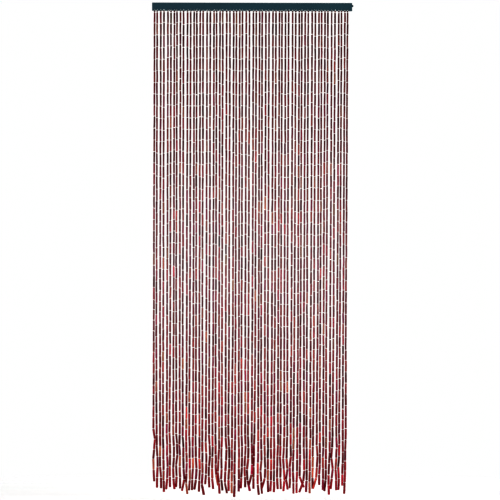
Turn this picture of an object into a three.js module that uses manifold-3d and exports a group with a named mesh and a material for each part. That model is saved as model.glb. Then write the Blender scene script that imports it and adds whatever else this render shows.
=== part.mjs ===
// Bead curtain with its hanging rail: strands of dyed tube beads that hang in pairs from a painted
// wooden rail. Millimetres, +Z up. X runs along the rail, the front faces -Y, and the origin is the
// centre of the rail's back face.

import * as THREE from "three";
import { mergeVertices } from "three/addons/utils/BufferGeometryUtils.js";
import Module from "manifold-3d";

const PIECE_GAP = 0.3;

// Rail: a straight batten with softened edges.
const RAIL_LENGTH = 900;
const RAIL_HEIGHT = 36;
const RAIL_DEPTH = 20;
const RAIL_EDGE_RADIUS = 2;
const RAIL_EDGE_STEPS = 3;
const RAIL_END_BEVEL = 1.2;

// Domed button on the rail's right-hand end.
const BUTTON_RADIUS = 4.6;
const BUTTON_PROUD = 5.6;
const BUTTON_ABOVE_MIDDLE = 5;
const BUTTON_RIM = 1.2;
const BUTTON_SIDES = 24;
const BUTTON_ARC_STEPS = 6;

// Where the strands hang: in pairs, in the plane of the rail's middle until their lanes part.
const FIRST_PAIR_X = -432.5;
const PAIR_PITCH = 29.57;
const SPACING_IN_PAIR = 13.1;
const ROOT_SHIFT = 1.6;
const ROOT_SHIFT_STEP = 5.3;
const ROOT_SHIFT_FADES_FROM = 1400;
const ROOT_SHIFT_ENDS_AT = 1900;

// The narrow strip under the rail that joins the strands' roots.
const STRIP_DEPTH = 5;
const STRIP_HEIGHT = 3;
const STRIP_PAST_END_STRANDS = 5;
const ROOT_OVERLAP = 1;

// A strand is as thick as its beads, which are stouter towards the floor.
const UPPER_BEAD_DIAMETER = 7;
const LOWER_BEAD_DIAMETER = 9.5;
const GROWTH_POWER = 4;

// How a strand hangs. The lowest beads turn at their wire links, one bead length apart. Near the tips
// neighbouring strands part into a front and a back lane, so that they can cross without touching.
const LOW_BEAD_PITCH = 49;
const LONGEST_DROP = 2187;
const RIGHT_SIDE_DRIFT = 6.5;
const WANDER = 0.5;
const WANDER_LENGTH = 170;
const WANDER_PHASE = 2.4;
const DEPTH_WANDER = 0.1;
const LANE_SHIFT = 5;
const LANE_STARTS_ABOVE_TIP = 450;
const LANE_ENDS_ABOVE_TIP = 200;
const UPPER_STATIONS = [300, 650, 1000, 1350, 1650];

// One row for each strand, from left to right.
// drop is how far the tip hangs below the rail. The others are how far the strand stands to the right
// of its plumb line at the fourth, third, second and first link above the tip, and at the tip itself.
const STRAND_COLUMNS = ["drop", "link4", "link3", "link2", "link1", "tip"];
const STRAND_ROWS = [
  [2117, 7, 3, 0, 1, 4],
  [2146, 1, 4, 5, 3, 3],
  [2148, 1, 0, 1, 5, 6],
  [2165, 2, 2, 3, 3, 4],
  [2153, 2, 2, 4, 3, -1],
  [2143, 2, 3, 2, 2, 2],
  [2152, 3, 3, 0, 1, 6],
  [2143, 4, 6, 1, 3, 1],
  [2149, -1, 1, 0, 2, 2],
  [2160, 3, 3, 4, 8, -3],
  [2174, 1, 3, 1, 0, 6],
  [2158, 2, 2, 3, 3, -1],
  [2156, -1, 0, 1, -2, -4],
  [2154, 0, 1, 4, 1, -6],
  [2163, 0, 0, 2, 0, -2],
  [2178, 1, 1, 2, -1, 8],
  [2130, -1, 1, 2, 0, -3],
  [2144, 3, 5, 1, 0, 3],
  [2151, 1, 0, -1, 0, 4],
  [2135, 1, 1, 1, 3, 12],
  [2172, 0, -2, -5, 1, 4],
  [2158, -1, -2, -1, -3, 3],
  [2170, 4, 2, -1, -3, 7],
  [2160, 3, 4, 4, 1, 2],
  [2170, -1, 0, -1, -2, -1],
  [2187, -1, -1, -2, -1, -3],
  [2162, 2, 2, 2, 2, 1],
  [2148, 2, 2, 1, -1, -3],
  [2143, 2, 1, -2, 0, 1],
  [2160, 2, 1, -4, -2, 9],
  [2132, 0, 1, 2, 0, -12],
  [2150, -2, -2, -3, -4, -4],
  [2177, 0, -1, -2, -2, 3],
  [2172, 1, 2, -2, 1, 5],
  [2150, 0, 1, 3, 1, -14],
  [2165, 2, 1, 1, 1, 3],
  [2161, -1, 0, 0, 0, -3],
  [2165, 1, 0, 0, 0, -1],
  [2151, 1, -1, -2, -2, 0],
  [2151, 0, -2, 0, 0, 2],
  [2160, -2, -5, -2, 1, -3],
  [2153, -1, -2, 2, -3, 3],
  [2147, 0, 1, -4, -3, -5],
  [2171, -1, -2, -3, 0, 0],
  [2168, 0, 0, 0, -2, -2],
  [2143, -1, 0, -1, -2, 17],
  [2165, 0, 2, 3, -1, -19],
  [2164, 1, 1, 1, 1, -2],
  [2169, -2, -2, -2, -3, -2],
  [2149, -1, -1, -1, -2, -1],
  [2148, 0, 4, 1, -2, -17],
  [2132, 1, 1, 1, -1, -1],
  [2154, 1, -1, 0, 0, -1],
  [2160, -1, -1, -1, -2, -7],
  [2175, 0, -2, -4, -4, -2],
  [2150, -2, -5, 1, -3, -8],
  [2155, 2, 0, -3, 0, 1],
  [2154, 2, 1, -3, 0, -1],
  [2134, 0, 1, 0, -1, -1],
  [2171, -2, -2, -2, -3, -5],
];
const STRANDS = STRAND_ROWS.map((row) =>
  Object.fromEntries(STRAND_COLUMNS.map((column, at) => [column, row[at]])),
);

const RAIL_BOTTOM_Z = -RAIL_HEIGHT / 2;
const STRAND_PLANE_Y = -RAIL_DEPTH / 2;

const painted = new THREE.MeshStandardMaterial({
  color: 0x15303a,
  roughness: 0.45,
  metalness: 0,
});
const dyedBead = new THREE.MeshStandardMaterial({
  color: 0x53272a,
  roughness: 0.5,
  metalness: 0,
});

const wasm = await Module();
wasm.setup();

// A closed geometry as a solid that can be joined to others.
function solidOf(geometry) {
  const bare = geometry.clone();
  bare.deleteAttribute("normal");
  bare.deleteAttribute("uv");
  const merged = mergeVertices(bare, 1e-3);
  return new wasm.Manifold(
    new wasm.Mesh({
      numProp: 3,
      vertProperties: merged.attributes.position.array,
      triVerts: new Uint32Array(merged.index.array),
    }),
  );
}

// A joined solid as a geometry with its own normals.
function geometryOf(solid) {
  const mesh = solid.getMesh();
  const geometry = new THREE.BufferGeometry();
  geometry.setAttribute(
    "position",
    new THREE.BufferAttribute(mesh.vertProperties, mesh.numProp),
  );
  geometry.setIndex(new THREE.BufferAttribute(mesh.triVerts, 1));
  geometry.computeVertexNormals();
  return geometry;
}

function named(name, geometry, material) {
  const mesh = new THREE.Mesh(geometry, material);
  mesh.name = name;
  return mesh;
}

// A rectangle with rounded corners, centred on its shape's origin.
function roundedRectangle(width, height, radius) {
  const x = width / 2;
  const y = height / 2;
  const shape = new THREE.Shape();
  shape.moveTo(x, -y + radius);
  shape.absarc(x - radius, y - radius, radius, 0, Math.PI / 2);
  shape.absarc(-x + radius, y - radius, radius, Math.PI / 2, Math.PI);
  shape.absarc(-x + radius, -y + radius, radius, Math.PI, 1.5 * Math.PI);
  shape.absarc(x - radius, -y + radius, radius, 1.5 * Math.PI, 2 * Math.PI);
  return shape;
}

function makeRail() {
  const section = roundedRectangle(RAIL_HEIGHT, RAIL_DEPTH, RAIL_EDGE_RADIUS);
  const straight = RAIL_LENGTH - 2 * RAIL_END_BEVEL;
  const geometry = new THREE.ExtrudeGeometry(section, {
    depth: straight,
    curveSegments: RAIL_EDGE_STEPS,
    bevelEnabled: true,
    bevelThickness: RAIL_END_BEVEL,
    bevelSize: RAIL_END_BEVEL,
    bevelOffset: -RAIL_END_BEVEL,
    bevelSegments: 1,
  });
  geometry.translate(0, 0, -straight / 2);
  geometry.rotateY(Math.PI / 2);
  const rail = named("rail", geometry, painted);
  rail.position.set(0, STRAND_PLANE_Y, 0);
  return rail;
}

function makeEndButton() {
  const profile = [
    new THREE.Vector2(0, 0),
    new THREE.Vector2(BUTTON_RADIUS, 0),
    new THREE.Vector2(BUTTON_RADIUS, BUTTON_RIM),
  ];
  for (let step = 1; step < BUTTON_ARC_STEPS; step++) {
    const angle = (step / BUTTON_ARC_STEPS) * (Math.PI / 2);
    const across = BUTTON_RADIUS * Math.cos(angle);
    const dome = (BUTTON_PROUD - BUTTON_RIM) * Math.sin(angle);
    profile.push(new THREE.Vector2(across, BUTTON_RIM + dome));
  }
  profile.push(new THREE.Vector2(0, BUTTON_PROUD));
  const geometry = new THREE.LatheGeometry(profile, BUTTON_SIDES);
  geometry.rotateZ(-Math.PI / 2);
  const button = named("end_button", geometry, painted);
  button.position.set(
    RAIL_LENGTH / 2 + PIECE_GAP,
    STRAND_PLANE_Y,
    BUTTON_ABOVE_MIDDLE,
  );
  return button;
}

function smoothStep(low, high, value) {
  return THREE.MathUtils.smoothstep(value, low, high);
}

function beadDiameter(depth) {
  const growth = Math.pow(depth / LONGEST_DROP, GROWTH_POWER);
  return THREE.MathUtils.lerp(UPPER_BEAD_DIAMETER, LOWER_BEAD_DIAMETER, growth);
}

// Where strand number i is at a depth below the rail, with its sideways shift from the table.
function strandPoint(i, depth, shift) {
  const side = i % 2 === 0 ? -1 : 1;
  const root =
    FIRST_PAIR_X +
    PAIR_PITCH * Math.floor(i / 2) +
    (side * SPACING_IN_PAIR) / 2 +
    ROOT_SHIFT *
      Math.sin(i * ROOT_SHIFT_STEP) *
      (1 - smoothStep(ROOT_SHIFT_FADES_FROM, ROOT_SHIFT_ENDS_AT, depth));
  const across = i / (STRANDS.length - 1);
  const down = depth / LONGEST_DROP;
  const drift = -RIGHT_SIDE_DRIFT * across * across * down;
  const wave = depth / WANDER_LENGTH + i * WANDER_PHASE;
  const above = STRANDS[i].drop - depth;
  const lane =
    side *
    LANE_SHIFT *
    (1 - smoothStep(LANE_ENDS_ABOVE_TIP, LANE_STARTS_ABOVE_TIP, above));
  return new THREE.Vector3(
    root + drift + WANDER * Math.sin(wave) * down + shift,
    STRAND_PLANE_Y + lane + DEPTH_WANDER * Math.cos(wave) * down,
    RAIL_BOTTOM_Z - depth,
  );
}

// The levels of a strand's sections, from its root to its tip.
function strandStations(strand) {
  const shifts = [0, strand.link4, strand.link3, strand.link2, strand.link1];
  const links = shifts.map((shift, at) => ({
    depth: strand.drop - (shifts.length - at) * LOW_BEAD_PITCH,
    shift,
  }));
  return [
    { depth: PIECE_GAP + STRIP_HEIGHT - ROOT_OVERLAP, shift: 0 },
    ...UPPER_STATIONS.map((depth) => ({ depth, shift: 0 })),
    ...links,
    { depth: strand.drop, shift: strand.tip },
  ];
}

// A closed solid through square sections, each given by its centre and its width, from the top down.
function loftSquares(sections) {
  const corners = [
    [1, 1],
    [1, -1],
    [-1, -1],
    [-1, 1],
  ];
  const points = sections.flatMap(({ centre, width }) =>
    corners.map(([x, y]) => [
      centre.x + (x * width) / 2,
      centre.y + (y * width) / 2,
      centre.z,
    ]),
  );
  const faces = [
    [0, 3, 2],
    [0, 2, 1],
  ];
  for (let ring = 0; ring + 1 < sections.length; ring++) {
    const upper = 4 * ring;
    const lower = upper + 4;
    for (let corner = 0; corner < 4; corner++) {
      const next = (corner + 1) % 4;
      faces.push([upper + corner, upper + next, lower + next]);
      faces.push([upper + corner, lower + next, lower + corner]);
    }
  }
  const last = points.length - 4;
  faces.push([last, last + 1, last + 2]);
  faces.push([last, last + 2, last + 3]);
  const geometry = new THREE.BufferGeometry();
  geometry.setAttribute(
    "position",
    new THREE.Float32BufferAttribute(points.flat(), 3),
  );
  geometry.setIndex(faces.flat());
  return geometry;
}

function strandSolid(strand, i) {
  const sections = strandStations(strand).map(({ depth, shift }) => ({
    centre: strandPoint(i, depth, shift),
    width: beadDiameter(depth),
  }));
  return solidOf(loftSquares(sections));
}

function makeStrandRow() {
  const first = strandPoint(0, 0, 0).x - STRIP_PAST_END_STRANDS;
  const last =
    strandPoint(STRANDS.length - 1, 0, 0).x + STRIP_PAST_END_STRANDS;
  const strip = new THREE.BoxGeometry(last - first, STRIP_DEPTH, STRIP_HEIGHT);
  strip.translate(
    (first + last) / 2,
    STRAND_PLANE_Y,
    RAIL_BOTTOM_Z - PIECE_GAP - STRIP_HEIGHT / 2,
  );
  const solids = STRANDS.map(strandSolid);
  const joined = solids.reduce((all, one) => all.add(one), solidOf(strip));
  return named("strand_row", geometryOf(joined), dyedBead);
}

const curtain = new THREE.Group();
curtain.add(makeRail(), makeEndButton(), makeStrandRow());

export default curtain;
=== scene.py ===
"""Bead curtain on its rail: dyed cane tube beads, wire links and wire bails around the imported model.

Sizes are in millimetres until a mesh is made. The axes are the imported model's: +X along the rail,
+Z up, and the front faces -Y.
"""

import math

import bpy
import numpy as np
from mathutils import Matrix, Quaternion, Vector


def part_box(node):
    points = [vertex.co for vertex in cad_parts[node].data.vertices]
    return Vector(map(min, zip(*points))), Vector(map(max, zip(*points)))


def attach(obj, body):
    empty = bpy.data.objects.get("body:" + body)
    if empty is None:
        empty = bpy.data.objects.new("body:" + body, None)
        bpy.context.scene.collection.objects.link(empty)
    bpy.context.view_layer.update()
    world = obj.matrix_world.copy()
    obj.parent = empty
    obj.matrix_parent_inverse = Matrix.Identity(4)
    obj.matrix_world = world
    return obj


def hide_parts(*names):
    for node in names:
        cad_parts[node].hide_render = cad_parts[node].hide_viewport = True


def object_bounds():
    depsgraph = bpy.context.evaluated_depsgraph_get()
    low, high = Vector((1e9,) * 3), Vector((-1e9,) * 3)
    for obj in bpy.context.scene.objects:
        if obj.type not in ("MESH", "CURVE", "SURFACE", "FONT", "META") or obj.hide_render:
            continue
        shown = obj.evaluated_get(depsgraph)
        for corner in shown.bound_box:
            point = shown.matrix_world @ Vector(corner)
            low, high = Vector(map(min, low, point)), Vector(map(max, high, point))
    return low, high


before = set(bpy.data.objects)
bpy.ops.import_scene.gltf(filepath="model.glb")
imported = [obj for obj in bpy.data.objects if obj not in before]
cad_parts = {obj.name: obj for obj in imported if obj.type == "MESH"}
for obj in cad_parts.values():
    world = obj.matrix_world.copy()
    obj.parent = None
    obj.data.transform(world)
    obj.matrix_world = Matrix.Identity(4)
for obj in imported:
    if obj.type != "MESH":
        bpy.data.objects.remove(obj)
cad_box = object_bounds()

MM = 0.001
SEED = 20

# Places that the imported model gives.
RAIL_LOW, RAIL_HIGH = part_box("rail")
RAIL_BOTTOM = RAIL_LOW.z / MM
RAIL_HALF_DEPTH = (RAIL_HIGH.y - RAIL_LOW.y) / MM / 2
STRAND_PLANE = (RAIL_LOW.y + RAIL_HIGH.y) / MM / 2

# Where the strands hang, as in the model's source. Only the beads near the tips are a little thicker
# than its rods.
FIRST_PAIR_X = -432.5
PAIR_PITCH = 29.57
SPACING_IN_PAIR = 13.1
ROOT_SHIFT = 1.6
ROOT_SHIFT_STEP = 5.3
ROOT_SHIFT_FADES_FROM = 1400
ROOT_SHIFT_ENDS_AT = 1900
LONGEST_DROP = 2187
RIGHT_SIDE_DRIFT = 6.5
WANDER = 0.5
WANDER_LENGTH = 170
WANDER_PHASE = 2.4
DEPTH_WANDER = 0.1
LANE_SHIFT = 5
LANE_STARTS_ABOVE_TIP = 450
LANE_ENDS_ABOVE_TIP = 200
UPPER_BEAD_DIAMETER = 7
LOWER_BEAD_DIAMETER = 10
GROWTH_POWER = 4

# One row for each strand, from left to right, as in the model's source.
# drop is how far the tip hangs below the rail. The others are how far the strand stands to the right
# of its plumb line at the fourth, third, second and first link above the tip, and at the tip itself.
STRAND_COLUMNS = ("drop", "link4", "link3", "link2", "link1", "tip")
STRAND_ROWS = (
    (2117, 7, 3, 0, 1, 4),
    (2146, 1, 4, 5, 3, 3),
    (2148, 1, 0, 1, 5, 6),
    (2165, 2, 2, 3, 3, 4),
    (2153, 2, 2, 4, 3, -1),
    (2143, 2, 3, 2, 2, 2),
    (2152, 3, 3, 0, 1, 6),
    (2143, 4, 6, 1, 3, 1),
    (2149, -1, 1, 0, 2, 2),
    (2160, 3, 3, 4, 8, -3),
    (2174, 1, 3, 1, 0, 6),
    (2158, 2, 2, 3, 3, -1),
    (2156, -1, 0, 1, -2, -4),
    (2154, 0, 1, 4, 1, -6),
    (2163, 0, 0, 2, 0, -2),
    (2178, 1, 1, 2, -1, 8),
    (2130, -1, 1, 2, 0, -3),
    (2144, 3, 5, 1, 0, 3),
    (2151, 1, 0, -1, 0, 4),
    (2135, 1, 1, 1, 3, 12),
    (2172, 0, -2, -5, 1, 4),
    (2158, -1, -2, -1, -3, 3),
    (2170, 4, 2, -1, -3, 7),
    (2160, 3, 4, 4, 1, 2),
    (2170, -1, 0, -1, -2, -1),
    (2187, -1, -1, -2, -1, -3),
    (2162, 2, 2, 2, 2, 1),
    (2148, 2, 2, 1, -1, -3),
    (2143, 2, 1, -2, 0, 1),
    (2160, 2, 1, -4, -2, 9),
    (2132, 0, 1, 2, 0, -12),
    (2150, -2, -2, -3, -4, -4),
    (2177, 0, -1, -2, -2, 3),
    (2172, 1, 2, -2, 1, 5),
    (2150, 0, 1, 3, 1, -14),
    (2165, 2, 1, 1, 1, 3),
    (2161, -1, 0, 0, 0, -3),
    (2165, 1, 0, 0, 0, -1),
    (2151, 1, -1, -2, -2, 0),
    (2151, 0, -2, 0, 0, 2),
    (2160, -2, -5, -2, 1, -3),
    (2153, -1, -2, 2, -3, 3),
    (2147, 0, 1, -4, -3, -5),
    (2171, -1, -2, -3, 0, 0),
    (2168, 0, 0, 0, -2, -2),
    (2143, -1, 0, -1, -2, 17),
    (2165, 0, 2, 3, -1, -19),
    (2164, 1, 1, 1, 1, -2),
    (2169, -2, -2, -2, -3, -2),
    (2149, -1, -1, -1, -2, -1),
    (2148, 0, 4, 1, -2, -17),
    (2132, 1, 1, 1, -1, -1),
    (2154, 1, -1, 0, 0, -1),
    (2160, -1, -1, -1, -2, -7),
    (2175, 0, -2, -4, -4, -2),
    (2150, -2, -5, 1, -3, -8),
    (2155, 2, 0, -3, 0, 1),
    (2154, 2, 1, -3, 0, -1),
    (2134, 0, 1, 0, -1, -1),
    (2171, -2, -2, -2, -3, -5),
)
STRANDS = [dict(zip(STRAND_COLUMNS, row)) for row in STRAND_ROWS]

# Chains: a short bead under the rail, then the long beads of each strand, with a gap at each wire link.
# PAST_TIP is how far the last bead reaches past the model's rod, and OFF_AXIS how far beads sit from
# their strand's line, in X, Y and Z.
TOP_BEAD_DEPTH = 0.9
TOP_BEAD_END = 5.9
TOP_BEAD_SPREAD = 1.4
TOP_BEAD_RANGE = (5, 9)
TOP_BEAD_OFF_AXIS_SHARE = 0.3
LONG_BEADS = 42
FIRST_PITCH = 50
UPPER_PITCH = 53.2
LOWER_PITCH = 49
PITCH_SHORTENS_FROM = 0.3
PITCH_SPREAD = 2.5
PAST_TIP = 2
LINK_GAP = 2.4
LINK_GAP_SPREAD = 0.55
LEAST_LINK_GAP = 1.6
OFF_AXIS = (0.3, 0.15, 0)

# Tube beads.
BEAD_SIDES = 10
BORE_RADIUS = 1.6
BORE_DEPTH = 4
BORE_TAPER = 0.9
BORE_RIM = 0.15
MOST_BORED_SHARE = 0.4
SHOULDER = 1.1
END_ROUNDING = 0.7
DIAMETER_SPREAD = 0.25
MOST_OVERSIZE = 0.3
OVAL_SPREAD = 0.04
BOW_SPREAD = 0.25
TAPER_SPREAD = 0.12
NODE_SHARE = 0.22
NODE_PLACES = (0.2, 0.8)
LEAST_LENGTH_WITH_NODE = 20

# A cane node's rings: how far each is past the node's middle and out from the bead, its wear and
# its darkness.
NODE_RINGS = ((-2.2, 0, 0, 0), (-0.5, 0.35, 0.35, 0), (0.5, 0.05, 0, 1), (1.8, 0.08, 0, 0))

# Wire: an eye at each end of each bead, and a bail for each strand on the rail. BAIL_ASIDE is a
# direction that no stretch of a bail follows.
WIRE_RADIUS = 0.4
EYE_RADIUS = 1.2
EYE_STEPS = 8
EYE_STEM = 2
EYE_NECK = 0.5
EYE_OPENING = 0.06
EYE_TWIST_SPREAD = 0.4
EYE_SIDES = 4
BAIL_WIRE_RADIUS = 0.65
BAIL_SIDES = 6
BAIL_HOLE_HEIGHT = 6.8
BAIL_HALF_WIDTH = 2.4
BAIL_END_DEPTH = 2.2
BAIL_ASIDE = (0.5, 0.6, 0.62)

GROUPS = 5

# Dyes of the beads in linear colour, with the share of beads that has each.
DYES = {
    "black_brown": {"colour": (0.07, 0.001, 0.004), "share": 0.25},
    "dark_brown": {"colour": (0.084, 0.003, 0.006), "share": 0.19},
    "maroon": {"colour": (0.106, 0.003, 0.009), "share": 0.28},
    "plum": {"colour": (0.096, 0.003, 0.018), "share": 0.1},
    "brick": {"colour": (0.124, 0.016, 0.013), "share": 0.14},
    "ochre": {"colour": (0.143, 0.044, 0.026), "share": 0.04},
}
DYE_BRIGHTNESS_SPREAD = 0.22
DYE_HUE_SPREAD = 0.07

# How the dyes change down the curtain: a pale painted sheen added halfway, in place of lamp haze, and
# deepest red at the tips.
TONE_DEPTHS = (0, 600, 1100, 1600, 1950, 2090, 2150)
TONE_STRENGTHS = (0.86, 1.04, 1.05, 1.32, 1.8, 2.2, 1.75)
TONE_PAINTED_SHEEN = (0, 0.007, 0.034, 0.012, 0.001, 0, 0)
PAINTED_SHEEN_HUE = (1, 0.96, 1.1)


def smooth_step(low, high, value):
    share = np.clip((value - low) / (high - low), 0, 1)
    return share * share * (3 - 2 * share)


def bead_diameter(depth):
    growth = (depth / LONGEST_DROP) ** GROWTH_POWER
    return UPPER_BEAD_DIAMETER + (LOWER_BEAD_DIAMETER - UPPER_BEAD_DIAMETER) * growth


def strand_point(index, depth, shift):
    """Where a strand is at a depth below the rail, with its sideways shift from the table."""
    side = -1 if index % 2 == 0 else 1
    root = FIRST_PAIR_X + PAIR_PITCH * (index // 2) + side * SPACING_IN_PAIR / 2
    straightening = 1 - smooth_step(ROOT_SHIFT_FADES_FROM, ROOT_SHIFT_ENDS_AT, depth)
    root += ROOT_SHIFT * math.sin(index * ROOT_SHIFT_STEP) * straightening
    across = index / (len(STRANDS) - 1)
    down = depth / LONGEST_DROP
    drift = -RIGHT_SIDE_DRIFT * across * across * down
    wave = depth / WANDER_LENGTH + index * WANDER_PHASE
    above = STRANDS[index]["drop"] - depth
    lane = side * LANE_SHIFT * (1 - smooth_step(LANE_ENDS_ABOVE_TIP, LANE_STARTS_ABOVE_TIP, above))
    return np.array(
        (
            root + drift + WANDER * math.sin(wave) * down + shift,
            STRAND_PLANE + lane + DEPTH_WANDER * math.cos(wave) * down,
            RAIL_BOTTOM - depth,
        )
    )


def chain_joints(index, random):
    """The points where a strand's wire eyes meet, from the rail to the tip."""
    strand = STRANDS[index]
    down = np.linspace(0, 1, LONG_BEADS)
    pitches = UPPER_PITCH - (UPPER_PITCH - LOWER_PITCH) * smooth_step(PITCH_SHORTENS_FROM, 1, down)
    pitches[0] = FIRST_PITCH
    pitches += random.normal(0, PITCH_SPREAD, LONG_BEADS)
    first = np.clip(random.normal(TOP_BEAD_END, TOP_BEAD_SPREAD), *TOP_BEAD_RANGE)
    pitches *= (strand["drop"] + PAST_TIP - first) / pitches.sum()
    depths = np.concatenate(([TOP_BEAD_DEPTH], first + np.concatenate(([0], np.cumsum(pitches)))))
    low = (strand["link4"], strand["link3"], strand["link2"], strand["link1"], strand["tip"])
    shifts = (0,) * (len(depths) - len(low)) + low
    return np.array([strand_point(index, d, s) for d, s in zip(depths, shifts)]), depths


def unit(vectors):
    return vectors / np.linalg.norm(vectors, axis=-1, keepdims=True)


def cross_axes(along, turn):
    """Two unit vectors across each given direction, turned about it."""
    side = unit(np.cross(along, (0.0, 1.0, 0.0)))
    front = np.cross(along, side)
    cos, sin = np.cos(turn)[:, None], np.sin(turn)[:, None]
    return side * cos + front * sin, front * cos - side * sin


class Beads:
    """All beads as rows of arrays: where each starts and ends, how thick it is and its dye with painted
    sheen.
    """

    def __init__(self):
        random = np.random.default_rng(SEED)
        rows = []
        self.eyes = []
        self.roots = []
        for index in range(len(STRANDS)):
            joints, depths = chain_joints(index, random)
            self.roots.append(joints[0])
            gaps = np.maximum(
                random.normal(LINK_GAP, LINK_GAP_SPREAD, len(joints)), LEAST_LINK_GAP
            )
            gaps[[0, -1]] = 0
            along = unit(np.diff(joints, axis=0))
            starts = joints[:-1] + along * gaps[:-1, None] / 2
            ends = joints[1:] - along * gaps[1:, None] / 2
            offset = random.normal(0, 1, (2, len(along), 3)) * OFF_AXIS
            offset[:, 0] *= TOP_BEAD_OFF_AXIS_SHARE
            for bead in range(len(along)):
                rows.append(
                    {
                        "strand": index,
                        "start": starts[bead] + offset[0, bead],
                        "end": ends[bead] + offset[1, bead],
                        "depth": depths[bead],
                    }
                )
                turn = random.uniform(0, math.pi)
                if bead > 0:
                    self.eyes.append((index, joints[bead], along[bead], turn))
                if bead < len(along) - 1:
                    turn += random.normal(0, EYE_TWIST_SPREAD)
                    self.eyes.append((index, joints[bead + 1], -along[bead], turn))
        count = len(rows)
        self.strand = np.array([row["strand"] for row in rows])
        self.start = np.array([row["start"] for row in rows])
        self.end = np.array([row["end"] for row in rows])
        depth = np.array([row["depth"] for row in rows])
        spread = np.minimum(random.normal(0, DIAMETER_SPREAD, count), MOST_OVERSIZE)
        self.radius = (bead_diameter(depth) + spread) / 2
        self.taper = random.normal(0, TAPER_SPREAD, count)
        self.oval = random.normal(0, OVAL_SPREAD, count)
        self.bow = random.normal(0, BOW_SPREAD, (count, 2))
        self.turn = random.uniform(0, 2 * math.pi, count)
        length = np.linalg.norm(self.end - self.start, axis=1)
        self.has_node = (random.random(count) < NODE_SHARE) & (length > LEAST_LENGTH_WITH_NODE)
        self.node_at = random.uniform(*NODE_PLACES, count)
        self.dye = self.pick_dyes_and_sheen(depth, random)

    @staticmethod
    def pick_dyes_and_sheen(depth, random):
        colours = np.array([dye["colour"] for dye in DYES.values()])
        shares = [dye["share"] for dye in DYES.values()]
        colour = colours[random.choice(len(DYES), len(depth), p=shares)]
        strength = np.interp(depth, TONE_DEPTHS, TONE_STRENGTHS)[:, None]
        # Painted sheen: a pale tint added to the dyes, strongest halfway down the curtain.
        painted_sheen = np.interp(depth, TONE_DEPTHS, TONE_PAINTED_SHEEN)[:, None]
        brightness = np.exp(random.normal(0, DYE_BRIGHTNESS_SPREAD, (len(depth), 1)))
        hue = np.exp(random.normal(0, DYE_HUE_SPREAD, (len(depth), 3)))
        return (colour * strength + painted_sheen * PAINTED_SHEEN_HUE) * brightness * hue


def make_mesh(name, points, polygons, materials, material_of=None, attributes=None):
    """A mesh object in metres from points in millimetres and arrays of polygons of like size."""
    mesh = bpy.data.meshes.new(name)
    mesh.vertices.add(len(points))
    mesh.vertices.foreach_set("co", (points * MM).astype(np.float32).ravel())
    corners = np.concatenate([p.ravel() for p in polygons]).astype(np.int32)
    sizes = np.concatenate([np.full(len(p), p.shape[1]) for p in polygons])
    mesh.loops.add(len(corners))
    mesh.loops.foreach_set("vertex_index", corners)
    mesh.polygons.add(len(sizes))
    starts = np.concatenate(([0], np.cumsum(sizes)[:-1])).astype(np.int32)
    mesh.polygons.foreach_set("loop_start", starts)
    if material_of is not None:
        mesh.polygons.foreach_set("material_index", material_of.astype(np.int32))
    for key, values in (attributes or {}).items():
        kind = "FLOAT_COLOR" if values.ndim == 2 else "FLOAT"
        field = "color" if values.ndim == 2 else "value"
        layer = mesh.attributes.new(key, kind, "POINT")
        layer.data.foreach_set(field, values.astype(np.float32).ravel())
    mesh.update(calc_edges=True)
    mesh.validate()
    mesh.shade_smooth()
    for material in materials:
        mesh.materials.append(material)
    piece = bpy.data.objects.new(name, mesh)
    bpy.context.scene.collection.objects.link(piece)
    return piece


def ring_strips(rings, sides):
    """Quads between neighbouring rings of one tube, and which strip each quad is in."""
    quads = []
    strips = []
    for ring in range(rings - 1):
        for corner in range(sides):
            following = (corner + 1) % sides
            upper = ring * sides
            lower = upper + sides
            quads.append((upper + corner, upper + following, lower + following, lower + corner))
            strips.append(ring)
    return np.array(quads), np.array(strips)


def repeated(pattern, copies, step):
    """The same polygons for each copy, with the point numbers of that copy."""
    offsets = (np.arange(copies) * step)[:, None, None]
    return (pattern[None] + offsets).reshape(-1, pattern.shape[1])


def bead_rings(beads, chosen, with_node):
    """For each chosen bead and ring: distance from its start, radius, wear and darkness."""
    length = np.linalg.norm(beads.end[chosen] - beads.start[chosen], axis=1)
    radius = beads.radius[chosen]
    taper = beads.taper[chosen]
    zero = np.zeros_like(length)
    bore = zero + BORE_RADIUS
    bore_depth = np.minimum(BORE_DEPTH, length * MOST_BORED_SHARE)
    # Both ends' bore rings get full darkening: painted shade inside the bore.
    rings = [
        (bore_depth, bore * BORE_TAPER, 0, 1),
        (zero + BORE_RIM, bore, 0, 1),
        (zero, radius + taper - END_ROUNDING, 1, 0),
        (zero + SHOULDER, radius + taper, 0.2, 0),
    ]
    if with_node:
        at = beads.node_at[chosen] * length
        rings += [(at + past, radius + out, wear, node_ring_and_bore_shade) for past, out, wear, node_ring_and_bore_shade in NODE_RINGS]
    else:
        rings.append((length * 0.5, radius, 0, 0))
    rings += [
        (length - SHOULDER, radius - taper, 0.2, 0),
        (length, radius - taper - END_ROUNDING, 1, 0),
        (length - BORE_RIM, bore, 0, 1),
        (length - bore_depth, bore * BORE_TAPER, 0, 1),
    ]
    along = np.stack([ring[0] for ring in rings], axis=1)
    out = np.stack([ring[1] for ring in rings], axis=1)
    wear = np.array([ring[2] for ring in rings])
    node_ring_and_bore_shade = np.array([ring[3] for ring in rings])
    return along, out, wear, node_ring_and_bore_shade


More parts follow.
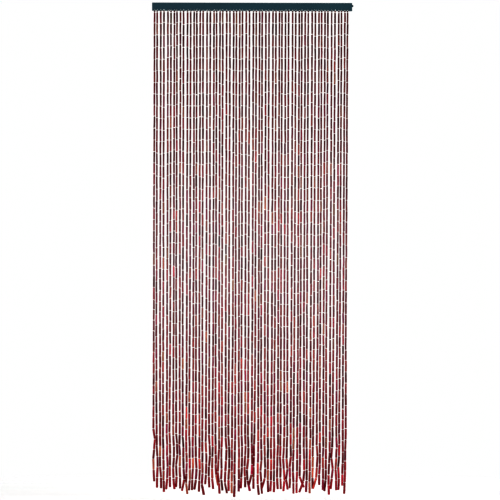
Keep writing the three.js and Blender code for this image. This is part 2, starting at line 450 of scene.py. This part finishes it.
def bead_arrays(beads, chosen, with_node):
    """Points, quads, end discs, materials and attributes of the chosen beads."""
    along, out, wear, node_ring_and_bore_shade = bead_rings(beads, chosen, with_node)
    count, rings = along.shape
    start = beads.start[chosen]
    span = beads.end[chosen] - start
    length = np.linalg.norm(span, axis=1, keepdims=True)
    direction = span / length
    side, front = cross_axes(direction, beads.turn[chosen])
    share = along / length
    bowed = 4 * share * (1 - share)
    middle = start[:, None] + direction[:, None] * along[..., None]
    middle = middle + side[:, None] * (bowed * beads.bow[chosen][:, :1])[..., None]
    middle = middle + front[:, None] * (bowed * beads.bow[chosen][:, 1:])[..., None]
    angle = np.arange(BEAD_SIDES) / BEAD_SIDES * 2 * math.pi
    wide = (1 + beads.oval[chosen])[:, None, None, None]
    narrow = (1 - beads.oval[chosen])[:, None, None, None]
    ring_side = side[:, None, None] * np.cos(angle)[None, None, :, None] * wide
    ring_front = front[:, None, None] * np.sin(angle)[None, None, :, None] * narrow
    points = middle[:, :, None] + (ring_side + ring_front) * out[:, :, None, None]
    quads, strips = ring_strips(rings, BEAD_SIDES)
    step = rings * BEAD_SIDES
    first_disc = np.arange(BEAD_SIDES)[::-1][None]
    last_disc = (np.arange(BEAD_SIDES) + step - BEAD_SIDES)[None]
    bare = np.isin(strips, (0, 1, rings - 3, rings - 2)).astype(int)
    return {
        "points": points.reshape(-1, 3),
        "quads": repeated(quads, count, step),
        "discs": np.concatenate(
            (repeated(first_disc, count, step), repeated(last_disc, count, step))
        ),
        "bare": np.tile(bare, count),
        "dye": np.repeat(beads.dye[chosen], step, axis=0),
        "wear": np.tile(np.repeat(wear, BEAD_SIDES), count),
        "node_ring_and_bore_shade": np.tile(np.repeat(node_ring_and_bore_shade, BEAD_SIDES), count),
    }


def make_bead_group(name, beads, strands, materials):
    """One piece with all beads of a run of strands."""
    inside = np.isin(beads.strand, strands)
    parts = [
        bead_arrays(beads, np.flatnonzero(inside & ~beads.has_node), False),
        bead_arrays(beads, np.flatnonzero(inside & beads.has_node), True),
    ]
    offset = len(parts[0]["points"])
    quads = np.concatenate((parts[0]["quads"], parts[1]["quads"] + offset))
    discs = np.concatenate((parts[0]["discs"], parts[1]["discs"] + offset))
    bare = np.concatenate([part["bare"] for part in parts] + [np.ones(len(discs), int)])
    dye = np.concatenate([part["dye"] for part in parts])
    attributes = {
        "dye": np.concatenate((dye, np.ones((len(dye), 1))), axis=1),
        "wear": np.concatenate([part["wear"] for part in parts]),
        "node_ring_and_bore_shade": np.concatenate([part["node_ring_and_bore_shade"] for part in parts]),
    }
    points = np.concatenate([part["points"] for part in parts])
    return make_mesh(name, points, [quads, discs], materials, bare, attributes)


def wire_arrays(paths, aside, radius, sides):
    """Points and polygons of round wires along paths with the same number of points.

    aside is a direction for each path that the path never follows.
    """
    count, steps, _ = paths.shape
    tangent = unit(np.gradient(paths, axis=1))
    normal = unit(np.cross(tangent, aside[:, None]))
    across = np.cross(tangent, normal)
    angle = np.arange(sides) / sides * 2 * math.pi
    ring = normal[:, :, None] * np.cos(angle)[:, None] + across[:, :, None] * np.sin(angle)[:, None]
    points = (paths[:, :, None] + ring * radius).reshape(-1, 3)
    quads, _ = ring_strips(steps, sides)
    step = steps * sides
    first = np.arange(sides)[::-1][None]
    last = (np.arange(sides) + step - sides)[None]
    caps = np.concatenate((repeated(first, count, step), repeated(last, count, step)))
    return points, repeated(quads, count, step), caps


def eye_paths(eyes):
    """Centre lines of the wire eyes, and the axes they turn about.

    Each is a stem out of its bead and then a turn round the eye.
    """
    joint = np.array([eye[1] for eye in eyes])
    towards = np.array([eye[2] for eye in eyes])
    turn = np.array([eye[3] for eye in eyes])
    side, _ = cross_axes(towards, turn)
    centre = joint + towards * (EYE_RADIUS - WIRE_RADIUS)
    angles = np.linspace(EYE_OPENING, 1 - EYE_OPENING, EYE_STEPS) * 2 * math.pi
    loop = (
        centre[:, None]
        + towards[:, None] * (np.cos(angles) * EYE_RADIUS)[None, :, None]
        + side[:, None] * (np.sin(angles) * EYE_RADIUS)[None, :, None]
    )
    neck = centre + towards * (EYE_RADIUS + EYE_NECK)
    stem = neck + towards * EYE_STEM
    return np.concatenate((stem[:, None], neck[:, None], loop), axis=1), np.cross(towards, side)


def make_wire_group(name, beads, strands, material):
    chosen = [eye for eye in beads.eyes if eye[0] in strands]
    paths, axes = eye_paths(chosen)
    points, quads, caps = wire_arrays(paths, axes, WIRE_RADIUS, EYE_SIDES)
    return make_mesh(name, points, [quads, caps], [material])


def bail_path(root, facing):
    """A wire from its hole down one face of the rail, into the top bead and back up.

    The points are given across, out from the strand's plane and down from the rail's lower edge.
    Its two ends lie side by side in the hole.
    """
    face = RAIL_HALF_DEPTH + BAIL_WIRE_RADIUS
    beside = BAIL_WIRE_RADIUS + 0.02
    half = (
        (beside, face - 2.5, -BAIL_HOLE_HEIGHT),
        (beside, face - 0.4, -BAIL_HOLE_HEIGHT),
        (beside + BAIL_HALF_WIDTH * 0.15, face, -BAIL_HOLE_HEIGHT * 0.84),
        (BAIL_HALF_WIDTH * 0.8, face, -BAIL_HOLE_HEIGHT * 0.45),
        (BAIL_HALF_WIDTH, face, -1.6),
        (BAIL_HALF_WIDTH, face - 0.6, -0.1),
        (BAIL_HALF_WIDTH * 0.7, face - 2.5, BAIL_WIRE_RADIUS + 0.1),
        (BAIL_HALF_WIDTH * 0.3, 1.2, BAIL_WIRE_RADIUS + 0.2),
    )
    bend = ((0, 0.7, BAIL_END_DEPTH),)
    other_half = tuple((-x, out, down) for x, out, down in reversed(half))
    return [
        (root[0] + x, root[1] - facing * out, RAIL_BOTTOM - down)
        for x, out, down in half + bend + other_half
    ]


def make_bails(beads, material):
    paths = [bail_path(root, facing) for root in beads.roots for facing in (1, -1)]
    aside = np.tile(unit(np.array(BAIL_ASIDE)), (len(paths), 1))
    points, quads, caps = wire_arrays(np.array(paths), aside, BAIL_WIRE_RADIUS, BAIL_SIDES)
    return make_mesh("wire_bails", points, [quads, caps], [material])


class Shader:
    """A material under construction: its principled shader and short ways to add nodes."""

    def __init__(self, name):
        self.material = bpy.data.materials.new(name)
        self.material.use_nodes = True
        self.nodes = self.material.node_tree.nodes
        self.links = self.material.node_tree.links
        self.surface = self.nodes["Principled BSDF"]

    def add(self, kind, **settings):
        node = self.nodes.new(kind)
        for key, value in settings.items():
            setattr(node, key, value)
        return node

    def link(self, source, target):
        self.links.new(source, target)

    def set(self, **values):
        for key, value in values.items():
            self.surface.inputs[key.replace("_", " ")].default_value = value

    def noise(self, scale, stretch=(1, 1, 1), detail=3, roughness=0.55):
        """Noise in the object's own space, stretched along an axis where its factor is small."""
        where = self.add("ShaderNodeTexCoord")
        mapping = self.add("ShaderNodeMapping")
        mapping.inputs["Scale"].default_value = stretch
        texture = self.add("ShaderNodeTexNoise")
        texture.inputs["Scale"].default_value = scale
        texture.inputs["Detail"].default_value = detail
        texture.inputs["Roughness"].default_value = roughness
        self.link(where.outputs["Object"], mapping.inputs["Vector"])
        self.link(mapping.outputs["Vector"], texture.inputs["Vector"])
        return texture.outputs["Fac"]

    def ramp(self, value, low, high, from_value=0.3, to_value=0.7):
        """value taken from one range to another."""
        node = self.add("ShaderNodeMapRange")
        node.inputs["From Min"].default_value = from_value
        node.inputs["From Max"].default_value = to_value
        node.inputs["To Min"].default_value = low
        node.inputs["To Max"].default_value = high
        self.link(value, node.inputs["Value"])
        return node.outputs["Result"]

    def attribute(self, name, output):
        return self.add("ShaderNodeAttribute", attribute_name=name).outputs[output]

    def mix(self, factor, first, second, blend="MIX"):
        """Two colours mixed by a factor. Each of the three is a socket or a plain value."""
        node = self.add("ShaderNodeMix", data_type="RGBA", blend_type=blend)
        sockets = {"Factor": node.inputs[0], "A": node.inputs[6], "B": node.inputs[7]}
        for key, value in zip(sockets, (factor, first, second)):
            if isinstance(value, bpy.types.NodeSocket):
                self.link(value, sockets[key])
            elif key == "Factor":
                sockets[key].default_value = value
            else:
                sockets[key].default_value = (*value, 1)
        return node.outputs[2]

    def times(self, first, second):
        node = self.add("ShaderNodeMath", operation="MULTIPLY")
        self.link(first, node.inputs[0])
        if isinstance(second, bpy.types.NodeSocket):
            self.link(second, node.inputs[1])
        else:
            node.inputs[1].default_value = second
        return node.outputs[0]

    def bump(self, height, strength, distance):
        node = self.add("ShaderNodeBump")
        node.inputs["Strength"].default_value = strength
        node.inputs["Distance"].default_value = distance
        self.link(height, node.inputs["Height"])
        self.link(node.outputs["Normal"], self.surface.inputs["Normal"])


FIBRE_STRETCH = (1, 1, 0.03)


def dyed_cane():
    """Lacquered cane: each bead's dye with its painted sheen, streaked along the fibres, and rubbed
    pale at its ends.
    """
    shader = Shader("dyed_cane")
    fibres = shader.noise(1400, FIBRE_STRETCH, detail=4)
    blotches = shader.noise(130, (1, 1, 0.35), detail=2)
    dye = shader.attribute("dye", "Color")
    streaks = shader.add("ShaderNodeHueSaturation")
    shader.link(dye, streaks.inputs["Color"])
    shader.link(
        shader.times(shader.ramp(fibres, 0.72, 1.3), shader.ramp(blotches, 0.8, 1.2)),
        streaks.inputs["Value"],
    )
    rubbed = shader.mix(1, streaks.outputs["Color"], (0.16, 0.09, 0.05), "ADD")
    worn = shader.times(shader.attribute("wear", "Fac"), shader.ramp(blotches, 0.2, 0.7))
    coloured = shader.mix(worn, streaks.outputs["Color"], rubbed)
    darkened = shader.mix(
        shader.times(shader.attribute("node_ring_and_bore_shade", "Fac"), 0.7), coloured, (0.004, 0.003, 0.003)
    )
    shader.link(darkened, shader.surface.inputs["Base Color"])
    shader.link(shader.ramp(fibres, 0.38, 0.58), shader.surface.inputs["Roughness"])
    shader.set(Specular_IOR_Level=0.22, Coat_Weight=0.08, Coat_Roughness=0.3)
    shader.bump(fibres, 0.35, 0.0002)
    return shader.material


def cut_cane():
    """Sawn tube ends and the bore: dyed cane, paler and matt, with painted shade darkening it into the
    bore, and almost black pores.
    """
    shader = Shader("cut_cane")
    pores = shader.noise(2600, detail=2)
    dye = shader.attribute("dye", "Color")
    pale = shader.mix(0.35, dye, (0.3, 0.17, 0.1))
    # Painted shade: darker from the end's outer edge into the bore.
    bore_painted_shade = shader.mix(shader.attribute("node_ring_and_bore_shade", "Fac"), pale, (0.01, 0.006, 0.005))
    pored = shader.mix(shader.ramp(pores, 0.5, 0), bore_painted_shade, (0.02, 0.01, 0.008))
    shader.link(pored, shader.surface.inputs["Base Color"])
    shader.set(Roughness=0.85, Specular_IOR_Level=0.2)
    shader.bump(pores, 0.4, 0.0002)
    return shader.material


def steel_wire():
    """Bright drawn wire, a little dulled in places."""
    shader = Shader("steel_wire")
    dull = shader.noise(900, detail=2)
    colour = shader.mix(shader.ramp(dull, 0, 1), (0.78, 0.76, 0.73), (0.55, 0.52, 0.48))
    shader.link(colour, shader.surface.inputs["Base Color"])
    shader.link(shader.ramp(dull, 0.22, 0.42), shader.surface.inputs["Roughness"])
    shader.set(Metallic=1.0)
    return shader.material


def rail_paint():
    """Slate-teal paint brushed along the rail, with the grain showing faintly."""
    shader = Shader("rail_paint")
    brush = shader.noise(500, (0.02, 1, 1), detail=3)
    cloud = shader.noise(9, (0.5, 1, 1), detail=2)
    paint = shader.mix(shader.ramp(cloud, 0, 1), (0.018, 0.055, 0.072), (0.024, 0.067, 0.086))
    streaked = shader.mix(shader.ramp(brush, 0, 0.3), paint, (0.035, 0.08, 0.1))
    shader.link(streaked, shader.surface.inputs["Base Color"])
    shader.link(shader.ramp(brush, 0.4, 0.55), shader.surface.inputs["Roughness"])
    shader.set(Specular_IOR_Level=0.35)
    shader.bump(brush, 0.25, 0.0003)
    return shader.material


def dress(piece):
    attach(piece, "root")
    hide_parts("strand_row")


def make_curtain():
    beads = Beads()
    bead_materials = [dyed_cane(), cut_cane()]
    wire = steel_wire()
    for group, strands in enumerate(np.array_split(np.arange(len(STRANDS)), GROUPS), start=1):
        dress(make_bead_group(f"beads_{group}", beads, strands, bead_materials))
        dress(make_wire_group(f"wire_links_{group}", beads, set(strands), wire))
    dress(make_bails(beads, wire))


def finish_rail():
    paint = rail_paint()
    for node in ("rail", "end_button"):
        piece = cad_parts[node]
        piece.data.materials.clear()
        piece.data.materials.append(paint)


# Camera: the photograph's frame is 500 pixels square, with the rail's middle at this place in it.
FRAME_PIXELS = 500
PIXEL = 4.503
RAIL_MIDDLE_PIXEL = (251.5, 6.9)
CAMERA_DISTANCE = 24.0
SCENE_ROLL = math.radians(0.15)


def make_camera():
    rail_middle = (RAIL_LOW + RAIL_HIGH) / 2
    half = FRAME_PIXELS / 2
    across = (half - RAIL_MIDDLE_PIXEL[0]) * PIXEL * MM
    down = (half - RAIL_MIDDLE_PIXEL[1]) * PIXEL * MM
    data = bpy.data.cameras.new("camera")
    data.sensor_width = 36
    data.lens = data.sensor_width / 2 * CAMERA_DISTANCE / (half * PIXEL * MM)
    data.clip_end = 100
    camera = bpy.data.objects.new("camera", data)
    bpy.context.scene.collection.objects.link(camera)
    camera.location = rail_middle + Vector((across, -CAMERA_DISTANCE, -down))
    level = Vector((0, 1, 0)).to_track_quat("-Z", "Y")
    camera.rotation_mode = "QUATERNION"
    camera.rotation_quaternion = Quaternion((0, 1, 0), -SCENE_ROLL) @ level
    bpy.context.scene.camera = camera


# Stage: a pale floor that fades into a white surround, and four large soft lamps.
FLOOR_RADIUS = 4.5
FLOOR_FADE = (0.7, 3.4)
FLOOR_BELOW_TIPS = 0.045


def make_floor():
    lowest = cad_box[0].z - FLOOR_BELOW_TIPS
    shader = Shader("floor_paint")
    shader.set(Base_Color=(0.93, 0.925, 0.92, 1), Roughness=0.8)
    where = shader.add("ShaderNodeTexCoord")
    length = shader.add("ShaderNodeVectorMath", operation="LENGTH")
    shader.link(where.outputs["Object"], length.inputs[0])
    fade = shader.ramp(length.outputs["Value"], 1, 0, *FLOOR_FADE)
    shader.link(fade, shader.surface.inputs["Alpha"])
    bpy.ops.mesh.primitive_circle_add(
        vertices=96, radius=FLOOR_RADIUS, fill_type="NGON", location=(0, 0, lowest)
    )
    floor = bpy.context.object
    floor.name = "floor"
    floor.data.materials.append(shader.material)


LAMPS = (
    {"name": "key", "place": (-1.9, -2.7, -0.9), "size": 1.6, "watts": 105},
    {"name": "fill", "place": (2.2, -2.5, -1.0), "size": 2.0, "watts": 80},
    {"name": "middle", "place": (0.2, -1.6, -1.0), "size": 0.8, "watts": 16},
    {"name": "back", "place": (0.5, 4.5, 1.6), "size": 3.5, "watts": 220},
)
LAMP_AIM = (0, 0, -1.1)
SURROUND_LIGHT = 0.35


def make_lamps():
    for lamp in LAMPS:
        data = bpy.data.lights.new(lamp["name"], "AREA")
        data.shape = "SQUARE"
        data.size = lamp["size"]
        data.energy = lamp["watts"]
        light = bpy.data.objects.new(lamp["name"], data)
        bpy.context.scene.collection.objects.link(light)
        light.location = lamp["place"]
        light.rotation_mode = "QUATERNION"
        light.rotation_quaternion = (Vector(LAMP_AIM) - light.location).to_track_quat("-Z", "Y")
        light.visible_camera = False


def make_surround():
    """White to the camera, and softer as a light."""
    world = bpy.data.worlds.new("surround")
    world.use_nodes = True
    nodes, links = world.node_tree.nodes, world.node_tree.links
    background = nodes["Background"]
    background.inputs["Color"].default_value = (1, 1, 1, 1)
    rays = nodes.new("ShaderNodeLightPath")
    strength = nodes.new("ShaderNodeMapRange")
    strength.inputs["To Min"].default_value = SURROUND_LIGHT
    strength.inputs["To Max"].default_value = 1
    links.new(rays.outputs["Is Camera Ray"], strength.inputs["Value"])
    links.new(strength.outputs["Result"], background.inputs["Strength"])
    bpy.context.scene.world = world


make_camera()
make_curtain()
finish_rail()
make_floor()
make_lamps()
make_surround()
bpy.context.scene.view_settings.view_transform = "Standard"
bpy.context.scene.view_settings.gamma = 0.5
